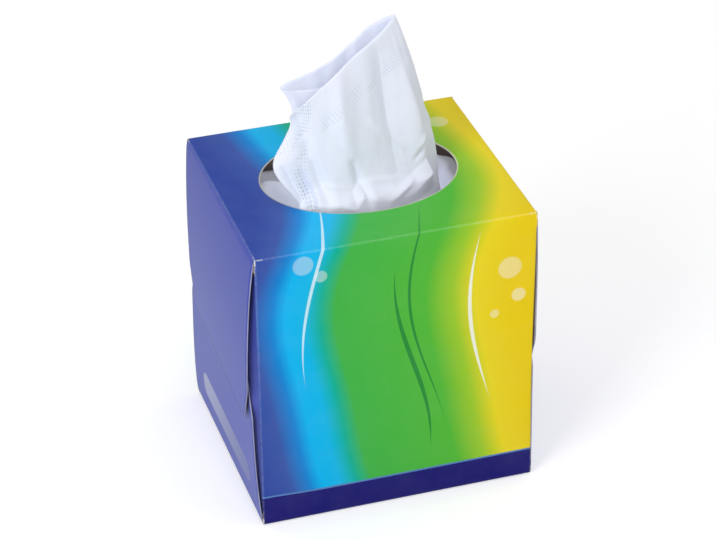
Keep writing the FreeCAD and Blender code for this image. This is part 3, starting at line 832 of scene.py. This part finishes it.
def stroke_mask(nodes, across, along, path, width):
    """Mask of a tapered stroke whose middle line is a wave across the print.

    The path gives the middle, sway, wavelength, phase, start and end of the stroke.
    """
    middle, sway, wave, phase, start, end = path
    swing = nodes.math("SINE", nodes.math("MULTIPLY_ADD", along, 2 * math.pi / wave, phase))
    centre = nodes.math("MULTIPLY_ADD", swing, sway, middle)
    away = nodes.math("ABSOLUTE", nodes.math("SUBTRACT", across, centre))
    share = nodes.band(along, start, end, 0.0, math.pi, smooth=False)
    wide = nodes.math("MULTIPLY", nodes.math("SINE", share), width)
    edge = 0.22 * MM
    return nodes.math("DIVIDE", nodes.math("SUBTRACT", wide, away), edge, clamp=True)


def disc_mask(nodes, across, along, middle, radius):
    """Mask of a soft-edged disc on the print."""
    away = nodes.reach(nodes.math("SUBTRACT", across, middle[0]),
                       nodes.math("SUBTRACT", along, middle[1]))
    return nodes.band(away, radius * 0.86, radius, 1.0, 0.0)


# Inks of the wrap's strokes
LEAF = srgb(34, 138, 56)
CREAM = srgb(248, 250, 236)
ICE = srgb(206, 240, 252)

# Colours across the wrap's waves, from the left crease to the right one
WAVE_COLOURS = [
    (0.00, srgb(46, 72, 162)), (0.09, srgb(58, 88, 170)), (0.155, srgb(10, 134, 214)),
    (0.20, srgb(0, 184, 244)), (0.265, srgb(0, 186, 236)), (0.325, srgb(0, 180, 150)),
    (0.375, srgb(66, 182, 72)), (0.70, srgb(84, 188, 56)), (0.80, srgb(160, 206, 44)),
    (0.88, srgb(240, 220, 34)), (1.0, srgb(242, 210, 10))]

# Strokes on the front, over the top edge and on the back: path as in stroke_mask, width and ink
STROKES = [
    ((0.006, 0.0075, 0.150, 0.4, 0.020, 0.112), 0.0011, LEAF),
    ((0.013, 0.0085, 0.160, 0.9, 0.030, 0.150), 0.0007, LEAF),
    ((0.037, 0.0075, 0.170, 1.4, 0.040, 0.122), 0.0009, CREAM),
    ((-0.030, 0.0090, 0.190, 2.2, 0.060, 0.165), 0.0008, ICE),
    ((-0.004, 0.0080, 0.155, 2.6, 0.236, 0.322), 0.0010, LEAF),
    ((0.004, 0.0085, 0.165, 2.2, 0.248, 0.334), 0.0007, LEAF),
    ((0.040, 0.0070, 0.175, 0.6, 0.232, 0.310), 0.0009, CREAM),
]

# Pale discs: middle on the print, radius and strength
DISCS = [
    ((0.046, 0.101), 0.0052, 0.30), ((0.050, 0.088), 0.0032, 0.38), ((0.040, 0.081), 0.0021, 0.30),
    ((-0.038, 0.118), 0.0044, 0.24), ((-0.031, 0.112), 0.0027, 0.28), ((0.044, 0.205), 0.0046, 0.30),
    ((-0.040, 0.262), 0.0050, 0.24), ((-0.033, 0.270), 0.0030, 0.28), ((0.047, 0.285), 0.0042, 0.30)]

FOOT_BAND = 12.2 * MM
FOOT_SLOPE = 0.8 * MM
FOOT_RULE = 0.8 * MM


def waves_and_strokes(nodes, across, along):
    """Colour waves of the wrap with their strokes and discs."""
    long_wave = nodes.math("SINE", nodes.math("MULTIPLY_ADD", along, 2 * math.pi / 0.205, -0.9))
    short_wave = nodes.math("SINE", nodes.math("MULTIPLY_ADD", along, 2 * math.pi / 0.093, 0.7))
    share = nodes.math("DIVIDE", nodes.math("ADD", across, HALF_W), WIDTH)
    share = nodes.math("MULTIPLY_ADD", long_wave, 0.095, share)
    share = nodes.math("MULTIPLY_ADD", short_wave, 0.022, share)
    colour = nodes.ramp(share, WAVE_COLOURS)
    for path, width, ink in STROKES:
        mask = stroke_mask(nodes, across, along, path, width)
        colour = nodes.blend(nodes.math("MULTIPLY", mask, 0.9), colour, ink)
    for middle, radius, strength in DISCS:
        mask = nodes.math("MULTIPLY", disc_mask(nodes, across, along, middle, radius), strength)
        colour = nodes.blend(mask, colour, srgb(255, 255, 235))
    return colour


def printed_wrap_material():
    """Varnished print of the wrap: soft colour waves over a dark foot band."""
    material, nodes, shader = new_material("printed board")
    uv = nodes.place("ShaderNodeUVMap", uv_map="print")
    across, along, _ = nodes.split(uv.outputs[0])
    place = nodes.place("ShaderNodeTexCoord").outputs["Object"]
    colour = waves_and_strokes(nodes, across, along)

    foot = nodes.math("MULTIPLY_ADD", nodes.band(across, -HALF_W, -0.030, 1.0, 0.0), FOOT_SLOPE,
                      FOOT_BAND)
    x, y, level = nodes.split(place)
    band = nodes.math("LESS_THAN", level, foot)
    rule = nodes.math("MULTIPLY", nodes.math("GREATER_THAN", level, foot),
                      nodes.math("LESS_THAN", level, nodes.math("ADD", foot, FOOT_RULE)))
    colour = nodes.blend(band, colour, srgb(26, 22, 114))
    colour = nodes.blend(rule, colour, srgb(90, 128, 190))

    # Pale rim where the print stops short of the oval
    out_x = nodes.math("DIVIDE", nodes.math("SUBTRACT", x, OVAL_X), OVAL_LENGTH / 2)
    out_y = nodes.math("DIVIDE", nodes.math("SUBTRACT", y, OVAL_Y), OVAL_WIDTH / 2)
    rim = nodes.math("MULTIPLY", nodes.band(nodes.reach(out_x, out_y), 1.008, 1.016, 1.0, 0.0),
                     nodes.math("GREATER_THAN", level, HEIGHT - 2 * MM))
    colour = nodes.blend(nodes.math("MULTIPLY", rim, 0.85), colour, srgb(226, 222, 200))
    finish_board(nodes, shader, colour, place)
    return material


def finish_board(nodes, shader, colour, place):
    """Varnish, grain and rubbed folds that every printed face of the carton shares."""
    grain = nodes.call(GROUPS["board grain"], Place=place, Tooth=1.0)
    worn = nodes.call(GROUPS["crease wear"], Place=place, Amount=0.9)
    shade = nodes.math("MULTIPLY", grain.outputs["Mottle"], 0.010)
    colour = nodes.blend(shade, colour, srgb(255, 255, 255))
    rub = nodes.math("MULTIPLY", worn.outputs["Rub"], 0.30)
    colour = nodes.blend(rub, colour, srgb(214, 220, 226))
    colour = nodes.blend(worn.outputs["Scuff"], colour, srgb(240, 238, 232))
    nodes.feed(shader.inputs["Base Color"], colour)
    rough = nodes.math("MULTIPLY_ADD", worn.outputs["Rub"], 0.3, 0.34)
    rough = nodes.math("MULTIPLY_ADD", grain.outputs["Mottle"], 0.02, rough)
    nodes.feed(shader.inputs["Roughness"], rough)
    shader.inputs["IOR"].default_value = 1.48
    shader.inputs["Coat Roughness"].default_value = 0.22
    shader.inputs["Coat Weight"].default_value = 0.04
    shader.inputs["Specular IOR Level"].default_value = 0.12
    nodes.emboss(shader, grain.outputs["Height"], 0.25, 0.20 * MM)


def printed_end_material():
    """Plain printed ends with a pale rounded bar near the foot; their blue runs lighter towards the
    foot as a painted reflection of the pale floor.
    """
    bar_middle = -1.5 * MM
    bar_level = 16.5 * MM
    bar_half = 31.0 * MM
    bar_radius = 5.7 * MM
    material, nodes, shader = new_material("printed end board")
    uv = nodes.place("ShaderNodeUVMap", uv_map="print")
    across, up, _ = nodes.split(uv.outputs[0])
    place = nodes.place("ShaderNodeTexCoord").outputs["Object"]
    # Painted reflection: the ends' blue runs lighter towards the foot, standing in for the floor's
    # reflection in the varnish.
    colour = nodes.blend(nodes.band(up, 0.02, HEIGHT), srgb(92, 102, 184), srgb(62, 76, 170))
    from_middle = nodes.math("ABSOLUTE", nodes.math("SUBTRACT", across, bar_middle))
    past_end = nodes.math("MAXIMUM", nodes.math("SUBTRACT", from_middle, bar_half), 0.0)
    from_bar = nodes.reach(past_end, nodes.math("SUBTRACT", up, bar_level))
    bar = nodes.band(from_bar, bar_radius - 0.3 * MM, bar_radius, 1.0, 0.0)
    silver = nodes.blend(nodes.band(across, -0.040, 0.040), srgb(122, 130, 176),
                         srgb(182, 186, 212))
    colour = nodes.blend(nodes.math("MULTIPLY", bar, 0.8), colour, silver)
    finish_board(nodes, shader, colour, place)
    return material


def bare_board_material(name, colour, dusk):
    """Unprinted board: inner face or cut edge."""
    material, nodes, shader = new_material(name)
    place = nodes.place("ShaderNodeTexCoord").outputs["Object"]
    grain = nodes.call(GROUPS["board grain"], Place=place, Tooth=1.6)
    mixed = nodes.blend(grain.outputs["Mottle"], colour, dusk)
    nodes.feed(shader.inputs["Base Color"], mixed)
    nodes.feed(shader.inputs["Roughness"], nodes.math("MULTIPLY_ADD", grain.outputs["Mottle"],
                                                      0.1, 0.8))
    nodes.emboss(shader, grain.outputs["Height"], 0.4, 0.20 * MM)
    return material


def tissue_material(name, dots, glow):
    """Soft white tissue; dots gives each embossed band's axis, low and high limit in metres, and
    strength. The glow stands for light that has come through the thin sheets round it.
    """
    material, nodes, shader = new_material(name)
    uv = nodes.place("ShaderNodeUVMap", uv_map="print")
    parts = nodes.split(uv.outputs[0])
    fibre = nodes.call(GROUPS["paper fibre"], Place=uv.outputs[0])
    pressed = 0.0
    for axis, low, high, strength in dots:
        first, second = (1, 0) if axis == 0 else (0, 1)
        band = nodes.call(GROUPS["embossed dots"], Along=parts[first], Across=parts[second],
                          Low=low, High=high)
        pressed = nodes.math("MULTIPLY_ADD", band.outputs["Dots"], strength, pressed)
    white = nodes.blend(fibre.outputs["Cloud"], srgb(230, 236, 254), srgb(238, 242, 255))
    # Painted shade: the dents of the embossed dots are darkened towards grey blue, on top of their
    # bump.
    colour = nodes.blend(nodes.math("MULTIPLY", pressed, 0.5), white, srgb(190, 199, 216))
    nodes.feed(shader.inputs["Base Color"], colour)
    nodes.feed(shader.inputs["Roughness"], nodes.math("MULTIPLY_ADD", fibre.outputs["Cloud"],
                                                      0.1, 0.85))
    shader.inputs["Subsurface Weight"].default_value = 0.15
    shader.inputs["Subsurface Radius"].default_value = (1.0, 1.0, 1.0)
    shader.inputs["Subsurface Scale"].default_value = 0.0012
    shader.inputs["Sheen Weight"].default_value = 0.2
    shader.inputs["Sheen Roughness"].default_value = 0.6
    shader.inputs["Specular IOR Level"].default_value = 0.2
    shader.inputs["Emission Color"].default_value = (0.90, 0.93, 1.0, 1.0)
    shader.inputs["Emission Strength"].default_value = glow
    height = nodes.math("SUBTRACT", fibre.outputs["Height"], nodes.math("MULTIPLY", pressed, 3.0))
    nodes.emboss(shader, height, 0.35, 0.12 * MM)
    return material


def clip_material():
    """Side of the folded clip: fine layers of tissue, with painted shade in the thin gaps between
    them.
    """
    layer_pitch = 0.9 * MM
    material, nodes, shader = new_material("layered tissue")
    place = nodes.place("ShaderNodeTexCoord").outputs["Object"]
    fibre = nodes.call(GROUPS["paper fibre"], Place=place)
    drift = nodes.noise(place, 60.0, 2.0, 0.5)
    layer = nodes.math("MULTIPLY_ADD", drift, 0.6,
                       nodes.math("DIVIDE", nodes.split(place)[0], layer_pitch))
    edge = nodes.math("ABSOLUTE", nodes.math("SUBTRACT", nodes.math("FRACT", layer), 0.5))
    edge = nodes.band(edge, 0.05, 0.22)
    # Painted shade: a darker grey line where each layer meets the next.
    colour = nodes.blend(edge, srgb(205, 210, 220), srgb(242, 244, 248))
    nodes.feed(shader.inputs["Base Color"], colour)
    nodes.feed(shader.inputs["Roughness"], nodes.math("MULTIPLY_ADD", fibre.outputs["Cloud"],
                                                      0.1, 0.85))
    nodes.emboss(shader, edge, 0.5, 0.30 * MM)
    return material


GROUPS = {
    "board grain": board_grain_group(),
    "crease wear": crease_wear_group(),
    "paper fibre": paper_fibre_group(),
    "embossed dots": dot_row_group(),
}


# Studio

# The photograph's view: where the camera stands, how it is turned, and its focal length
CAMERA_PLACE = (-0.285464, -0.919223, 0.671833)
CAMERA_TURN = (1.0190114, 0.0101559, -0.3068670)
FOCAL_LENGTH = 140.37

# Name, place, point that it faces, side and power of each softbox
SOFTBOXES = [
    ("key", (-0.90, -0.70, 0.80), (0, 0, 0.07), 0.5, 6.1),
    ("overhead", (0.25, -0.10, 1.10), (0, 0, 0.10), 0.5, 1.5),
    ("back", (-0.85, 0.95, 0.70), (0, 0, 0.08), 0.9, 1.6),
    ("front", (-0.05, -1.12, 0.88), (0, 0, 0.08), 0.3, 2.3),
    ("end", (-1.10, -0.25, 0.35), (0, 0, 0.08), 0.8, 1.0),
]


def camera():
    """Camera at the photograph's place."""
    data = bpy.data.cameras.new("camera")
    data.sensor_width = 36.0
    data.lens = FOCAL_LENGTH
    data.clip_start = 0.01
    view = bpy.data.objects.new("camera", data)
    view.location = CAMERA_PLACE
    view.rotation_euler = CAMERA_TURN
    bpy.context.scene.collection.objects.link(view)
    bpy.context.scene.camera = view


def softbox(name, place, target, side, power):
    """Square area lamp that faces a point."""
    data = bpy.data.lights.new(name, "AREA")
    data.shape = "SQUARE"
    data.size = side
    data.energy = power
    lamp = bpy.data.objects.new(name, data)
    lamp.location = place
    lamp.rotation_euler = (Vector(target) - Vector(place)).to_track_quat("-Z", "Y").to_euler()
    bpy.context.scene.collection.objects.link(lamp)


def white_world():
    """White to the camera, softer as light."""
    world = bpy.data.worlds.new("studio")
    bpy.context.scene.world = world
    world.use_nodes = True
    nodes = Nodes(world.node_tree)
    background = world.node_tree.nodes["Background"]
    background.inputs["Color"].default_value = (1, 1, 1, 1)
    path = nodes.place("ShaderNodeLightPath")
    strength = nodes.math("MULTIPLY_ADD", path.outputs["Is Camera Ray"], 0.52, 0.48)
    nodes.feed(background.inputs["Strength"], strength)


def white_floor():
    """Large pale floor that keeps the object's soft shadow."""
    half = 3.0
    mesh = bpy.data.meshes.new("floor")
    mesh.from_pydata([(-half, -half, 0), (half, -half, 0), (half, half, 0), (-half, half, 0)], [],
                     [(0, 1, 2, 3)])
    floor = bpy.data.objects.new("floor", mesh)
    floor.location.z = -0.0002
    bpy.context.scene.collection.objects.link(floor)
    material, nodes, shader = new_material("white floor")
    shader.inputs["Base Color"].default_value = (0.86, 0.86, 0.87, 1)
    shader.inputs["Roughness"].default_value = 0.9
    shader.inputs["Specular IOR Level"].default_value = 0.1
    path = nodes.place("ShaderNodeLightPath")
    away = nodes.place("ShaderNodeVectorMath", operation="LENGTH")
    nodes.feed(away.inputs[0], nodes.place("ShaderNodeTexCoord").outputs["Object"])
    glow = nodes.band(away.outputs["Value"], 0.3, 1.6, 0.36, 0.68)
    nodes.feed(shader.inputs["Emission Strength"],
               nodes.math("MULTIPLY", path.outputs["Is Camera Ray"], glow))
    shader.inputs["Emission Color"].default_value = (1, 1, 1, 1)
    mesh.materials.append(material)


# Assembly

board = carton_sheet()
wrap_print = printed_wrap_material()
end_print = printed_end_material()
inside_board = bare_board_material("inside board", srgb(176, 160, 152), srgb(158, 144, 138))
cut_board = bare_board_material("cut board edge", srgb(232, 226, 208), srgb(214, 206, 188))
# The end flaps' cut edges: a bluish board tone darkened with painted shade of the gap they face.
shaded_end_edge = bare_board_material("end flap edge", srgb(170, 170, 196), srgb(140, 142, 178))
for finish in (wrap_print, inside_board, cut_board, end_print, inside_board, shaded_end_edge):
    board.data.materials.append(finish)
thicken(board, BOARD, -1.0, inside=INNER_STEP, rim=EDGE_STEP)
apply_modifiers(board)
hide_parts("carton")
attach(board, "root")

standing = standing_tissue()
standing.data.materials.append(tissue_material(
    "standing tissue", [(1, 0.0115, 0.0175, 0.8), (0, 0.0045, 0.0120, 1.8)], 0.02))
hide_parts("popup_tissue")
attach(standing, "root")

following = next_tissue()
following.data.materials.append(tissue_material(
    "following tissue", [(1, 0.0080, 0.0150, 1.0)], 0.15))
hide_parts("next_tissue")
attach(following, "root")

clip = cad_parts["tissue_stack"]
clip.data.materials.clear()
clip.data.materials.append(clip_material())

camera()
white_world()
white_floor()
for lamp in SOFTBOXES:
    softbox(*lamp)
bpy.context.scene.view_settings.view_transform = "Standard"
